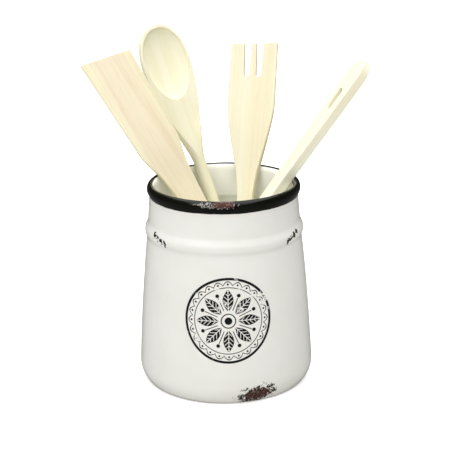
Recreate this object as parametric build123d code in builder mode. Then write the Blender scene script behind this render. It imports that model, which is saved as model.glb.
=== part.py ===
"""Utensil crock: a glazed stoneware jar with a rolled rim, and the four wooden kitchen tools in it.

Millimetres, +Z up. The origin is the centre of the crock's foot and the front faces -Y.
Each tool leans: its lower end stands in the crock and its shaft rests against the rolled rim.
"""

import os
from math import cos, hypot, pi, radians, sin

from build123d import *

os.makedirs("parts", exist_ok=True)

# Crock: outside
crock_height = 165.0
belly_radius = 71.4
belly_height = 14.0
foot_corner_radius = 20.6
shoulder_radius = 63.0
shoulder_height = 121.0
body_bulge = 0.75
band_height = 15.2
band_swell = 1.9
band_edge_radius = 1.6
neck_base_radius = 61.5
neck_top_radius = 59.5

# Crock: wall, rolled rim, floor and foot
wall = 4.2
rim_height = 9.8
rim_thickness = 6.6
floor_thickness = 5.4
inner_corner_radius = 12.0
foot_ring_width = 6.0
foot_recess = 1.6
foot_edge_radius = 0.6

# Wooden tools: the handles are cut alike, and the blades thin towards the tip
handle_end_width = 22.0
handle_end_round = 15.0
handle_end_thickness = 8.2
handle_neck_thickness = 7.2
blade_base_thickness = 4.0
blade_tip_thickness = 3.0
waist_width = 14.5
wood_edge_radius = 0.9
hang_slot_length = 20.0
hang_slot_width = 6.0
hang_slot_height = 38.0

# Turner: a flat blade with a slanted end
turner_length = 290.0
turner_blade_length = 80.0
turner_tip_width = 42.0
turner_base_width = 37.0
turner_waist_height = 95.0
turner_slant_height = 11.0

# Fork: a flat head with two tapered slots between three tines
fork_length = 277.0
fork_head_length = 50.0
fork_head_width = 41.0
fork_waist_width = 12.0
fork_waist_height = 130.0
fork_slot_length = 29.0
fork_slot_mouth = 6.8
fork_slot_root = 4.6
fork_slot_pitch = 10.6

# Spatula: handle end up, its plain straight blade down in the crock
spatula_length = 298.0
spatula_blade_length = 62.0
spatula_tip_width = 44.0
spatula_base_width = 38.0
spatula_waist_height = 168.0
spatula_waist_width = 17.0

# Spoon: a turned shaft and a carved oval bowl
spoon_length = 289.0
spoon_end_radius = 4.8
spoon_neck_radius = 5.2
spoon_neck_height = 172.0
spoon_bowl_width = 43.0
spoon_bowl_depth = 10.0
spoon_rim_setback = 2.6
spoon_rim_width = 2.7
spoon_hollow_depth = 7.2

# Fits: every wooden tool lies this far clear of the glaze
seat_clearance = 0.3
cut_overrun = 5.0

# How much of each handle is planed down towards the blade, as a share of the handle
turner_planed_share = 0.28571429
fork_planed_share = 0.2643172
spatula_planed_share = 0.2542373

# Outlines, as shares. Each pair is (place from the waist to the blade, swelling from waist to blade)
turner_flare_shares = ((0.30, 0.10), (0.58, 0.31), (0.79, 0.57))
fork_flare_shares = ((0.16, 0.05), (0.36, 0.22), (0.55, 0.50), (0.78, 0.83))
spatula_flare_shares = ((0.25, 0.16), (0.5, 0.5), (0.75, 0.84))

# The bowl's sections: (place from the neck to the tip, half width, depth), as shares of its full sizes
bowl_shares = (
    (0.12, 0.39, 0.58),
    (0.26, 0.59, 0.67),
    (0.42, 0.81, 0.81),
    (0.56, 0.945, 0.93),
    (0.70, 1.0, 1.0),
    (0.83, 0.93, 0.94),
    (0.925, 0.73, 0.74),
    (0.975, 0.46, 0.48),
    (0.995, 0.22, 0.24),
)
rim_rise_share = 0.3589744
hollow_length_share = 0.5213675
hollow_end_share = 0.03
hollow_egg_share = 0.12
hollow_sections = 13
rim_sweep_shares = (0.0, 0.125, 0.25, 0.375, 0.5, 0.625, 0.75, 0.875, 1.0)

# Where each tool leans: azimuths in degrees, and how far out on the floor its line stands
turner_lean = {"rim": 147.5, "floor": 30.6, "floor_share": 0.847, "facing": -62.0}
spoon_lean = {"rim": 110.0, "floor": 45.3, "floor_share": 0.6745, "facing": -62.0}
fork_lean = {"rim": 65.8, "floor": -74.0, "floor_share": 0.3925, "facing": -107.0}
spatula_lean = {"rim": 10.4, "floor": 185.9, "floor_share": 0.951, "facing": 195.0}

# The width and thickness that each flat tool has where it meets the rim, as shares of its own sizes
turner_rim_shares = {"width": 0.745, "thickness": 0.74}
fork_rim_shares = {"width": 0.54, "thickness": 0.91}
spatula_rim_shares = {"width": 0.475, "thickness": 1.10}

# Counts for the search that settles each tool against the rim and the floor
settling_steps = 24
rim_samples = 60
rim_search_degrees = 60.0
half_turn_degrees = 180.0

floor_top = foot_recess + floor_thickness
inner_corner_top = floor_top + inner_corner_radius
inner_belly_radius = belly_radius - wall
inner_neck_radius = neck_top_radius - wall
rim_centre_radius = inner_neck_radius + rim_thickness / 2
rim_centre_height = crock_height - rim_height / 2
band_top = shoulder_height + band_height
band_middle = shoulder_height + band_height / 2


def polar(radius, azimuth, height):
    """A point at this radius and azimuth in degrees round the crock's axis."""
    return Vector(radius * cos(radians(azimuth)), radius * sin(radians(azimuth)), height)


def gap_to_rim(point, along, across, face, half_width, half_thickness, rounding, azimuth):
    """Least gap between the rolled rim and a straight bar with rounded edges on the line through point."""
    least = crock_height
    for step in range(rim_samples + 1):
        turn = azimuth + rim_search_degrees * (2 * step / rim_samples - 1)
        for share in rim_sweep_shares:
            tilt = pi / 2 + share * pi / 2
            radius = rim_centre_radius + rim_thickness / 2 * cos(tilt)
            offset = polar(radius, turn, rim_centre_height + rim_height / 2 * sin(tilt)) - point
            over_x = abs(offset.dot(across)) - (half_width - rounding)
            over_y = abs(offset.dot(face)) - (half_thickness - rounding)
            outside = hypot(max(over_x, 0), max(over_y, 0)) + min(max(over_x, over_y), 0)
            least = min(least, outside - rounding)
    return least


def gap_to_inside(point):
    """Gap between a point in the crock and its floor, its rounded inner corner or its wall."""
    radius = hypot(point.X, point.Y)
    from_corner = radius - (inner_belly_radius - inner_corner_radius)
    if from_corner > 0 and point.Z < inner_corner_top:
        return inner_corner_radius - hypot(from_corner, inner_corner_top - point.Z)
    climb = (point.Z - inner_corner_top) / (shoulder_height - inner_corner_top)
    wall_radius = inner_belly_radius + climb * (shoulder_radius - belly_radius)
    return min(point.Z - floor_top, wall_radius - radius)


def settle(lean, half_width, half_thickness, rounding, half_end, end_points):
    """The plane of a tool's lower end, once it stands on the floor and leans on the rim.

    Its Z runs up the tool, its X across the face, and its front face looks along -Y. The end points
    are (across, up) places on the lower end, drawn in by the rounding, and half_end is half its thickness.
    """
    foot = polar(lean["floor_share"] * inner_belly_radius, lean["floor"], floor_top)
    sight = polar(1, lean["facing"], 0)
    inner, outer = 0, inner_neck_radius
    for _ in range(settling_steps):
        radius = (inner + outer) / 2
        rest = polar(radius, lean["rim"], rim_centre_height)
        along = (rest - foot).normalized()
        face = (sight - along * sight.dot(along)).normalized()
        across = along.cross(face)
        gap = gap_to_rim(rest, along, across, face, half_width, half_thickness, rounding, lean["rim"])
        if gap > seat_clearance:
            inner = radius
        else:
            outer = radius
    low, high = -2 * inner_corner_radius, 2 * inner_corner_radius
    half_face = half_end - rounding
    for _ in range(settling_steps):
        slide = (low + high) / 2
        start = foot + along * slide
        gaps = [
            gap_to_inside(start + across * place + along * up + face * side * half_face) - rounding
            for place, up in end_points
            for side in (-1, 1)
        ]
        if min(gaps) < seat_clearance:
            low = slide
        else:
            high = slide
    return Plane(origin=foot + along * high, x_dir=across, z_dir=along)


def settle_board(lean, rim_shares, blade_width, end_thickness, end_points):
    """Settle a flat tool, whose section at the rim is a share of its blade's width and neck's thickness."""
    half_width = rim_shares["width"] * blade_width / 2
    half_thickness = rim_shares["thickness"] * handle_neck_thickness / 2
    return settle(lean, half_width, half_thickness, wood_edge_radius, end_thickness / 2, end_points)


def rounded_end_points():
    """Places round the elliptical end of a handle, drawn in by the wood's edge radius."""
    half = handle_end_width / 2 - wood_edge_radius
    deep = handle_end_round - wood_edge_radius
    turns = [pi * step / rim_samples for step in range(rim_samples + 1)]
    return [(half * cos(turn), handle_end_round - deep * sin(turn)) for turn in turns]


def board_outline(length, slant, tip_width, blade_length, base_width, waist_high, waist, flares):
    """Outline of a flat tool: rounded handle end, narrow waist and flared blade."""
    blade_start = length - blade_length
    flare = [
        (waist / 2 + swell * (base_width - waist) / 2, waist_high + place * (blade_start - waist_high))
        for place, swell in flares
    ]
    right = [(handle_end_width / 2, handle_end_round), (waist / 2, waist_high)]
    right += flare + [(base_width / 2, blade_start)]
    left = [(-across, up) for across, up in right]
    EllipticalCenterArc(
        (0, handle_end_round),
        handle_end_width / 2,
        handle_end_round,
        start_angle=half_turn_degrees,
        arc_size=half_turn_degrees,
    )
    Spline(right[0], *right[1:], tangents=((0, 1), (tip_width - base_width, 2 * blade_length)))
    Line(right[-1], (tip_width / 2, length - slant / 2))
    Line((tip_width / 2, length - slant / 2), (-tip_width / 2, length + slant / 2))
    Line((-tip_width / 2, length + slant / 2), left[-1])
    Spline(left[0], *left[1:], tangents=((0, 1), (base_width - tip_width, 2 * blade_length)))


def board_thickness(length, blade_length, planed_share):
    """Side view of a flat tool: a handle that thins a little, a planed neck, and a thin blade."""
    blade_start = length - blade_length
    slope = (blade_base_thickness - blade_tip_thickness) / blade_length
    beyond = blade_tip_thickness - slope * cut_overrun
    back = [
        (handle_end_thickness / 2, 0),
        (handle_neck_thickness / 2, blade_start * (1 - planed_share)),
        (blade_base_thickness / 2, blade_start),
        (beyond / 2, length + cut_overrun),
    ]
    front = [(-across, up) for across, up in back]
    Spline(*back)
    Spline(*front)
    Line(back[0], front[0])
    Line(back[-1], front[-1])


def eased_edges(part, length, tip_width, crisp_length):
    """The long edges of a flat tool's faces. Within the crisp length of its tip, only the outermost."""

    def eased(edge):
        middle = edge.center()
        outermost = abs(middle.X) > tip_width / 2 - wood_edge_radius
        return outermost or middle.Z < length - crisp_length

    across = part.edges().filter_by(Axis.X)
    through = part.edges().filter_by(Axis.Y)
    return part.edges().filter_by(eased) - across - through


# Crock: one slip-cast wall, drawn as a half section and turned
corner_centre = belly_radius - foot_corner_radius
foot_radius = corner_centre + (foot_corner_radius**2 - belly_height**2) ** 0.5
corner_turn = radians(-42.0)
corner_middle = (
    corner_centre + foot_corner_radius * cos(corner_turn / 2),
    belly_height + foot_corner_radius * sin(corner_turn / 2),
)
body_middle = ((belly_radius + shoulder_radius) / 2 + body_bulge, (belly_height + shoulder_height) / 2)
band_peak = ((shoulder_radius + neck_base_radius) / 2 + band_swell, band_middle)

with BuildPart() as crock:
    with BuildSketch(Plane.XZ) as crock_section:
        with BuildLine():
            Polyline(
                (0, foot_recess),
                (foot_radius - foot_ring_width - foot_recess, foot_recess),
                (foot_radius - foot_ring_width, 0),
                (foot_radius, 0),
            )
            ThreePointArc((foot_radius, 0), corner_middle, (belly_radius, belly_height))
            ThreePointArc((belly_radius, belly_height), body_middle, (shoulder_radius, shoulder_height))
            ThreePointArc((shoulder_radius, shoulder_height), band_peak, (neck_base_radius, band_top))
            Polyline(
                (neck_base_radius, band_top),
                (neck_top_radius, rim_centre_height),
                (inner_neck_radius, rim_centre_height),
                (neck_base_radius - wall, band_top),
            )
            ThreePointArc(
                (neck_base_radius - wall, band_top),
                (band_peak[0] - wall, band_middle),
                (shoulder_radius - wall, shoulder_height),
            )
            ThreePointArc(
                (shoulder_radius - wall, shoulder_height),
                (body_middle[0] - wall, body_middle[1]),
                (inner_belly_radius, inner_corner_top),
            )
            RadiusArc(
                (inner_belly_radius, inner_corner_top),
                (inner_belly_radius - inner_corner_radius, floor_top),
                inner_corner_radius,
            )
            Polyline(
                (inner_belly_radius - inner_corner_radius, floor_top),
                (0, floor_top),
                (0, foot_recess),
            )
        make_face()
        with Locations((rim_centre_radius, rim_centre_height)):
            Ellipse(rim_thickness / 2, rim_height / 2)
    revolve(axis=Axis.Z)
    circles = crock.edges().filter_by(GeomType.CIRCLE)
    fillet(circles.group_by(Axis.Z)[0], foot_edge_radius)
    band_circles = crock.edges().filter_by_position(Axis.Z, shoulder_height, band_top)
    fillet(band_circles.filter_by(GeomType.CIRCLE).sort_by(lambda edge: edge.radius)[-2:], band_edge_radius)

crock.part.label = "crock"
export_step(crock.part, "parts/crock.step")


# Turner
with BuildPart() as turner_blank:
    with BuildSketch(Plane.XZ.offset(-handle_end_thickness / 2)):
        with BuildLine():
            board_outline(
                turner_length,
                turner_slant_height,
                turner_tip_width,
                turner_blade_length,
                turner_base_width,
                turner_waist_height,
                waist_width,
                turner_flare_shares,
            )
        make_face()
        with Locations((0, hang_slot_height)):
            SlotOverall(hang_slot_length, hang_slot_width, rotation=90, mode=Mode.SUBTRACT)
    extrude(amount=handle_end_thickness)
    with BuildSketch(Plane.YZ.offset(-turner_tip_width / 2)):
        with BuildLine():
            board_thickness(turner_length, turner_blade_length, turner_planed_share)
        make_face()
    extrude(amount=turner_tip_width, mode=Mode.INTERSECT)
    fillet(eased_edges(turner_blank, turner_length, turner_tip_width, turner_slant_height), wood_edge_radius)

turner_plane = settle_board(
    turner_lean, turner_rim_shares, turner_base_width, handle_end_thickness, rounded_end_points()
)
with BuildPart() as turner:
    add(turner_blank.part.moved(turner_plane.location))

turner.part.label = "turner"
export_step(turner.part, "parts/turner.step")

# Fork
with BuildPart() as fork_blank:
    with BuildSketch(Plane.XZ.offset(-handle_end_thickness / 2)):
        with BuildLine():
            board_outline(
                fork_length,
                0,
                fork_head_width,
                fork_head_length,
                fork_head_width,
                fork_waist_height,
                fork_waist_width,
                fork_flare_shares,
            )
        make_face()
        with Locations((0, hang_slot_height)):
            SlotOverall(hang_slot_length, hang_slot_width, rotation=90, mode=Mode.SUBTRACT)
        slot_root = fork_length - fork_slot_length + fork_slot_root / 2
        for side in (-1, 1):
            middle = side * fork_slot_pitch / 2
            with BuildLine():
                Line(
                    (middle - fork_slot_root / 2, slot_root),
                    (middle - fork_slot_mouth / 2, fork_length + cut_overrun),
                )
                Line(
                    (middle - fork_slot_mouth / 2, fork_length + cut_overrun),
                    (middle + fork_slot_mouth / 2, fork_length + cut_overrun),
                )
                Line(
                    (middle + fork_slot_mouth / 2, fork_length + cut_overrun),
                    (middle + fork_slot_root / 2, slot_root),
                )
                ThreePointArc(
                    (middle + fork_slot_root / 2, slot_root),
                    (middle, slot_root - fork_slot_root / 2),
                    (middle - fork_slot_root / 2, slot_root),
                )
            make_face(mode=Mode.SUBTRACT)
    extrude(amount=handle_end_thickness)
    with BuildSketch(Plane.YZ.offset(-fork_head_width / 2)):
        with BuildLine():
            board_thickness(fork_length, fork_head_length, fork_planed_share)
        make_face()
    extrude(amount=fork_head_width, mode=Mode.INTERSECT)
    fork_crisp_length = fork_slot_length + fork_slot_root
    fillet(eased_edges(fork_blank, fork_length, fork_head_width, fork_crisp_length), wood_edge_radius)

fork_plane = settle_board(
    fork_lean, fork_rim_shares, fork_head_width, handle_end_thickness, rounded_end_points()
)
with BuildPart() as fork:
    add(fork_blank.part.moved(fork_plane.location))

fork.part.label = "fork"
export_step(fork.part, "parts/fork.step")

# Spatula
with BuildPart() as spatula_blank:
    with BuildSketch(Plane.XZ.offset(-handle_end_thickness / 2)):
        with BuildLine():
            board_outline(
                spatula_length,
                0,
                spatula_tip_width,
                spatula_blade_length,
                spatula_base_width,
                spatula_waist_height,
                spatula_waist_width,
                spatula_flare_shares,
            )
        make_face()
        with Locations((0, hang_slot_height)):
            SlotOverall(hang_slot_length, hang_slot_width, rotation=90, mode=Mode.SUBTRACT)
    extrude(amount=handle_end_thickness)
    with BuildSketch(Plane.YZ.offset(-spatula_tip_width / 2)):
        with BuildLine():
            board_thickness(spatula_length, spatula_blade_length, spatula_planed_share)
        make_face()
    extrude(amount=spatula_tip_width, mode=Mode.INTERSECT)
    fillet(
        eased_edges(spatula_blank, spatula_length, spatula_tip_width, blade_tip_thickness),
        wood_edge_radius,
    )

# It stands in the crock upside down, on the corners of its blade
spatula_tip_points = [(side * (spatula_tip_width / 2 - wood_edge_radius), 0) for side in (-1, 1)]
spatula_tip_plane = settle_board(
    spatula_lean, spatula_rim_shares, spatula_base_width, blade_tip_thickness, spatula_tip_points
)
spatula_plane = Plane(
    origin=spatula_tip_plane.origin + spatula_tip_plane.z_dir * spatula_length,
    x_dir=spatula_tip_plane.x_dir,
    z_dir=-spatula_tip_plane.z_dir,
)
with BuildPart() as spatula:
    add(spatula_blank.part.moved(spatula_plane.location))

spatula.part.label = "spatula"
export_step(spatula.part, "parts/spatula.step")

# Spoon: turned shaft, lofted bowl, carved hollow
with BuildPart() as spoon_blank:
    bowl_reach = spoon_length - spoon_neck_height
    with BuildSketch(Plane.YZ):
        with BuildLine():
            ThreePointArc(
                (0, 0),
                (spoon_end_radius * sin(pi / 4), spoon_end_radius * (1 - cos(pi / 4))),
                (spoon_end_radius, spoon_end_radius),
            )
            Polyline(
                (spoon_end_radius, spoon_end_radius),
                (spoon_neck_radius, spoon_neck_height),
                (0, spoon_neck_height),
                (0, 0),
            )
        make_face()
    revolve(axis=Axis.Z)
    with BuildSketch(Plane.XY.offset(spoon_neck_height)):
        Circle(spoon_neck_radius)
    for place, wide, deep in bowl_shares:
        with BuildSketch(Plane.XY.offset(spoon_neck_height + place * bowl_reach)):
            Ellipse(wide * spoon_bowl_width / 2, deep * spoon_bowl_depth)
    loft()
    rim_start = spoon_neck_height + rim_rise_share * bowl_reach
    hollow_length = hollow_length_share * bowl_reach
    front = -spoon_bowl_depth - cut_overrun
    with BuildSketch(Plane.YZ.offset(-spoon_bowl_width / 2 - cut_overrun)):
        with BuildLine():
            Spline(
                (-spoon_neck_radius, spoon_neck_height),
                (-spoon_rim_setback, rim_start),
                tangents=((0, 1), (0, 1)),
            )
            Polyline(
                (-spoon_rim_setback, rim_start),
                (-spoon_rim_setback, spoon_length + cut_overrun),
                (front, spoon_length + cut_overrun),
                (front, spoon_neck_height),
                (-spoon_neck_radius, spoon_neck_height),
            )
        make_face()
    extrude(amount=spoon_bowl_width + 2 * cut_overrun, mode=Mode.SUBTRACT)
    hollow_plane = Plane.XY.offset(spoon_length - spoon_rim_width - hollow_length / 2)
    for step in range(hollow_sections):
        turn = pi * (hollow_end_share + step * (1 - 2 * hollow_end_share) / (hollow_sections - 1))
        wide = (spoon_bowl_width / 2 - spoon_rim_width) * sin(turn) * (1 - hollow_egg_share * cos(turn))
        with BuildSketch(hollow_plane.offset(-hollow_length / 2 * cos(turn))):
            with Locations((0, -spoon_rim_setback)):
                Ellipse(wide, spoon_hollow_depth * sin(turn))
    loft(mode=Mode.SUBTRACT)

spoon_plane = settle(
    spoon_lean,
    spoon_neck_radius,
    spoon_neck_radius,
    spoon_neck_radius,
    spoon_neck_radius,
    [(0, spoon_neck_radius)],
)
with BuildPart() as spoon:
    add(spoon_blank.part.moved(spoon_plane.location))

spoon.part.label = "spoon"
export_step(spoon.part, "parts/spoon.step")

for piece in (crock, turner, spoon, fork, spatula):
    print(piece.part.label, round(piece.part.volume), piece.part.is_valid)
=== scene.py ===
# %% [markdown]
# # A utensil crock and its wooden tools
# The object is a glazed stoneware jar with a dark rolled rim, and four wooden kitchen tools that
# stand in it. The CAD model gives every piece its size and place. This lesson turns a fresh surface
# for the jar, so that its glaze can be painted from the outline, and gives the tools their wood.

from collections import namedtuple
from math import radians

import bpy
import numpy as np
from mathutils import Matrix, Vector


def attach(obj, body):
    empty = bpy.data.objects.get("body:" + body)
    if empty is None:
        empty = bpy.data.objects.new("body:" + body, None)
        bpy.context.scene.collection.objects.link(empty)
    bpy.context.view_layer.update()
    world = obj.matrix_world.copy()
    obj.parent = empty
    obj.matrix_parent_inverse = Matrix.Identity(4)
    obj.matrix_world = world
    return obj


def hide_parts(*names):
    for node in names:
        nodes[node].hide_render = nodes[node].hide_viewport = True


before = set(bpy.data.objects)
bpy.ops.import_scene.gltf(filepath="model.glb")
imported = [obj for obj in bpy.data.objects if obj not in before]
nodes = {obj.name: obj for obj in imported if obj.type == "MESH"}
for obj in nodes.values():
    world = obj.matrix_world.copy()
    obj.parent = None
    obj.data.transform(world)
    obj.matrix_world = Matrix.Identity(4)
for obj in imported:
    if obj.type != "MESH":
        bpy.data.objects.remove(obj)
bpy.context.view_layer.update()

# %% [markdown]
# ## The jar's outline
# A jar that is cast in a round mould is a turned form, so one half outline says all of it. The
# edges of the CAD solid could be turned as they are, but on the real jar the glaze rounds every
# corner. So the outline is drawn as arcs and lines in one run, from the middle of the underside,
# up the outside, over the rim and down the inside to the middle of the floor, and is then softened.

# %% Sizes of the jar, in metres
CROCK_HEIGHT = 0.165
BELLY_RADIUS, BELLY_HEIGHT = 0.0714, 0.014
FOOT_CORNER = 0.0206
SHOULDER_RADIUS, SHOULDER_HEIGHT = 0.063, 0.121
BODY_BULGE = 0.00075
BAND_HEIGHT, BAND_SWELL = 0.0152, 0.0019
BAND_STEP_LOW, BAND_STEP_HIGH = 0.1212, 0.1256
BAND_FLARE_LOW, BAND_FLARE_HIGH = 0.1284, 0.1354
NECK_BASE_RADIUS, NECK_TOP_RADIUS = 0.0615, 0.0595
WALL = 0.0042
RIM_HEIGHT, RIM_THICKNESS = 0.0098, 0.0066
RIM_TURN_FROM, RIM_TURN_TO = -66, 184
FLOOR_TOP, FOOT_RECESS, FOOT_RING = 0.007, 0.0016, 0.006
INNER_CORNER = 0.012
print("jar is", CROCK_HEIGHT, "m high and", 2 * BELLY_RADIUS, "m wide")


# %% Arcs for the outline
def arc_through(start, middle, end, count=60):
    """Points on the circle through three points.

    The centre is as far from the first as from the second and the third, which is two linear
    equations. The angle then runs evenly from the first point to the last.
    """
    start, middle, end = map(np.array, (start, middle, end))
    spans = 2 * np.array([middle - start, end - start])
    squares = np.array([middle @ middle - start @ start, end @ end - start @ start])
    centre = np.linalg.solve(spans, squares)
    first, last = start - centre, end - centre
    turn = np.linspace(np.arctan2(first[1], first[0]), np.arctan2(last[1], last[0]), count)
    return centre + np.hypot(*first) * np.stack([np.cos(turn), np.sin(turn)], 1)


def oval_arc(centre, half_sizes, start_degrees, end_degrees, count=80):
    """Points on an oval: the centre plus (half width x cosine, half height x sine) of the turn."""
    turn = np.radians(np.linspace(start_degrees, end_degrees, count))
    return np.array(centre) + np.array(half_sizes) * np.stack([np.cos(turn), np.sin(turn)], 1)


def swelling_band(count=90):
    """The band round the shoulder, from below: a small step out, a flat swell, a longer flare in.

    Both steps are smooth, 3 t^2 - 2 t^3, and the radius is the lesser of the two at each height.
    """
    heights = np.linspace(SHOULDER_HEIGHT, SHOULDER_HEIGHT + BAND_HEIGHT, count)
    peak = (SHOULDER_RADIUS + NECK_BASE_RADIUS) / 2 + BAND_SWELL
    low = np.clip((heights - BAND_STEP_LOW) / (BAND_STEP_HIGH - BAND_STEP_LOW), 0, 1)
    high = np.clip((BAND_FLARE_HIGH - heights) / (BAND_FLARE_HIGH - BAND_FLARE_LOW), 0, 1)
    lower = SHOULDER_RADIUS + (peak - SHOULDER_RADIUS) * low**2 * (3 - 2 * low)
    upper = NECK_BASE_RADIUS + (peak - NECK_BASE_RADIUS) * high**2 * (3 - 2 * high)
    return np.stack([np.minimum(lower, upper), heights], 1)


print("band reaches out to", round(float(swelling_band()[:, 0].max()), 5), "m")

# %% Key points of the outline, as (radius, height) pairs
corner_middle = BELLY_RADIUS - FOOT_CORNER
foot_radius = corner_middle + np.sqrt(FOOT_CORNER**2 - BELLY_HEIGHT**2)
foot_turn = np.degrees(np.arcsin(BELLY_HEIGHT / FOOT_CORNER))
band_top = SHOULDER_HEIGHT + BAND_HEIGHT
inner_belly = BELLY_RADIUS - WALL
inner_corner_top = FLOOR_TOP + INNER_CORNER
rim_middle = (NECK_TOP_RADIUS - WALL + RIM_THICKNESS / 2, CROCK_HEIGHT - RIM_HEIGHT / 2)
body_middle = np.array(
    [(BELLY_RADIUS + SHOULDER_RADIUS) / 2 + BODY_BULGE, (BELLY_HEIGHT + SHOULDER_HEIGHT) / 2]
)
band_peak = np.array(
    [(SHOULDER_RADIUS + NECK_BASE_RADIUS) / 2 + BAND_SWELL, (SHOULDER_HEIGHT + band_top) / 2]
)
inwards = np.array([WALL, 0])
shoulder = np.array([SHOULDER_RADIUS, SHOULDER_HEIGHT])
neck_base = np.array([NECK_BASE_RADIUS, band_top])
belly = np.array([BELLY_RADIUS, BELLY_HEIGHT])
print("jar stands on a ring of radius", round(float(foot_radius), 4), "m")

# %% Draw the outline
outline = np.concatenate(
    [
        [(0, FOOT_RECESS), (foot_radius - FOOT_RING - FOOT_RECESS, FOOT_RECESS)],
        [(foot_radius - FOOT_RING, 0)],
        oval_arc((corner_middle, BELLY_HEIGHT), (FOOT_CORNER, FOOT_CORNER), -foot_turn, 0),
        arc_through(belly, body_middle, shoulder)[1:],
        swelling_band()[1:],
        oval_arc(rim_middle, (RIM_THICKNESS / 2, RIM_HEIGHT / 2), RIM_TURN_FROM, RIM_TURN_TO),
        arc_through(neck_base - inwards, band_peak - inwards, shoulder - inwards),
        arc_through(shoulder - inwards, body_middle - inwards, (inner_belly, inner_corner_top))[1:],
        oval_arc(
            (inner_belly - INNER_CORNER, inner_corner_top), (INNER_CORNER, INNER_CORNER), 0, -90
        )[1:],
        [(0, FLOOR_TOP)],
    ]
)
print("outline drawn with", len(outline), "points")

# %% [markdown]
# ## Soften the outline and choose its rows
# Glaze fills inside corners and thins over sharp ones. A moving average along the outline does the
# same in one step, where bevels would need a size for each corner. The rows of the mesh then go
# where the outline bends, so the rim gets many and the long straight wall few.

# %% Walk along the outline and soften it
FINE_STEP, GLAZE_SOFTNESS = 0.00025, 0.0007


def path_places(points):
    """Length along a run of points: the running sum of the steps between neighbours."""
    steps = np.hypot(*np.diff(points, axis=0).T)
    return np.concatenate([[0], np.cumsum(steps)])


def along_path(points, places, wanted):
    """Points at the wanted lengths, each on the straight step between two neighbours."""
    return np.stack([np.interp(wanted, places, points[:, axis]) for axis in (0, 1)], 1)


def softened(points):
    """Bell-weighted average of each point with its neighbours, on even steps along the outline."""
    places = path_places(points)
    even = along_path(points, places, np.linspace(0, places[-1], int(places[-1] / FINE_STEP)))
    reach = int(3 * GLAZE_SOFTNESS / FINE_STEP)
    offsets = np.arange(-reach, reach + 1) * FINE_STEP
    weights = np.exp(-0.5 * (offsets / GLAZE_SOFTNESS) ** 2)
    padded = np.pad(even, ((reach, reach), (0, 0)), mode="reflect", reflect_type="odd")
    columns = [np.convolve(padded[:, axis], weights / weights.sum(), "valid") for axis in (0, 1)]
    return np.stack(columns, 1)


fine = softened(outline)
fine_places = path_places(fine)
crest = fine_places[np.argmax(fine[:, 1])]
print("outline is", round(fine_places[-1] * 1000), "mm long, crest at", round(crest * 1000), "mm")

# %% Rows where the outline bends
ROW_COUNT, BEND_WEIGHT, BEND_LIMIT = 232, 0.012, 1500
heading = np.unwrap(np.arctan2(*np.diff(fine, axis=0).T[::-1]))
bend = np.abs(np.gradient(heading)) / FINE_STEP
effort = np.concatenate([[0], np.cumsum(1 + BEND_WEIGHT * np.minimum(bend, BEND_LIMIT))])
row_places = np.interp(np.linspace(0, effort[-1], ROW_COUNT), effort, fine_places)
profile = along_path(fine, fine_places, row_places)
row_steps = np.diff(row_places) * 1000
print("rows are", round(row_steps.min(), 2), "to", round(row_steps.max(), 2), "mm apart")

# %% [markdown]
# ## Worn places
# The jar is made to look like old enamel: the rim, the inside, the band and the foot carry chips.
# A chip is a shallow dip in the surface with its own colours. Dips and colours need the same
# places, so they are named once here, as an azimuth from the front and a place along the outline.
# The dips go into the mesh, and the ragged edges are left to the material, which can draw far finer
# than the mesh.

# %% Places of the chips and of the print
FOOT_MARGIN = 0.0005
path_foot = float(fine_places[np.argmax(fine[:, 0] > foot_radius - FOOT_MARGIN)])


def outside_place(height):
    """Length along the outline at which its outer side passes this height."""
    outer = (fine_places < crest) & (fine_places > path_foot)
    return float(np.interp(height, fine[outer, 1], fine_places[outer]))


Chip = namedtuple("Chip", "azimuth place half_width half_height lean")
band_chip_place = outside_place(0.1283)
chips = {
    "foot": Chip(20.5, outside_place(0.0075), 0.0170, 0.0085, 0.10),
    "rim": Chip(-0.5, crest - 0.0036, 0.0108, 0.0042, 0.0),
    "band_left": Chip(-53.5, band_chip_place, 0.0094, 0.0022, -0.29),
    "band_right": Chip(58.0, band_chip_place, 0.0094, 0.0022, 0.29),
    "inner": Chip(82.0, crest + 0.0040, 0.0160, 0.0032, 0.0),
}
PRINT_AZIMUTH, PRINT_PLACE, PRINT_RADIUS = 1.8, outside_place(0.0708), 0.0346
for name, chip in chips.items():
    print(name, "chip at", chip.azimuth, "degrees,", round(chip.place * 1000, 1), "mm along")

# %% [markdown]
# ## The jar's surface
# Turning the outline about the upright axis gives a grid: one parameter runs along the outline, the
# other round the jar. numpy works out the whole grid at once. The outline's length is kept on each
# point, as the attribute that the glaze reads. A jar from a mould is never quite round, so slow
# waves draw it in by a tenth of a millimetre.

# %% Rings of points
COLUMN_COUNT, CHIP_DEPTH = 408, 0.00035
WAVE_DEPTH, WAVE_SHIFT, WAVE_FADE = 0.00012, 1.1, 0.01
WAVES_ROUND, WAVES_UP = (3, 2), (40, 25)


def chip_dips(turn, places, radii):
    """Depth of the chips on the grid.

    Each dip is flat in the middle: exp(-(arc / half width)^4 - (rise / half height)^4).
    """
    depth = np.zeros(np.broadcast_shapes(turn.shape, places.shape))
    for chip in chips.values():
        arc = (turn - np.radians(chip.azimuth)) * radii
        rise = places - chip.place - chip.lean * arc
        bell = (arc / chip.half_width) ** 4 + (rise / chip.half_height) ** 4
        depth += CHIP_DEPTH * np.exp(-bell)
    return depth


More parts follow.
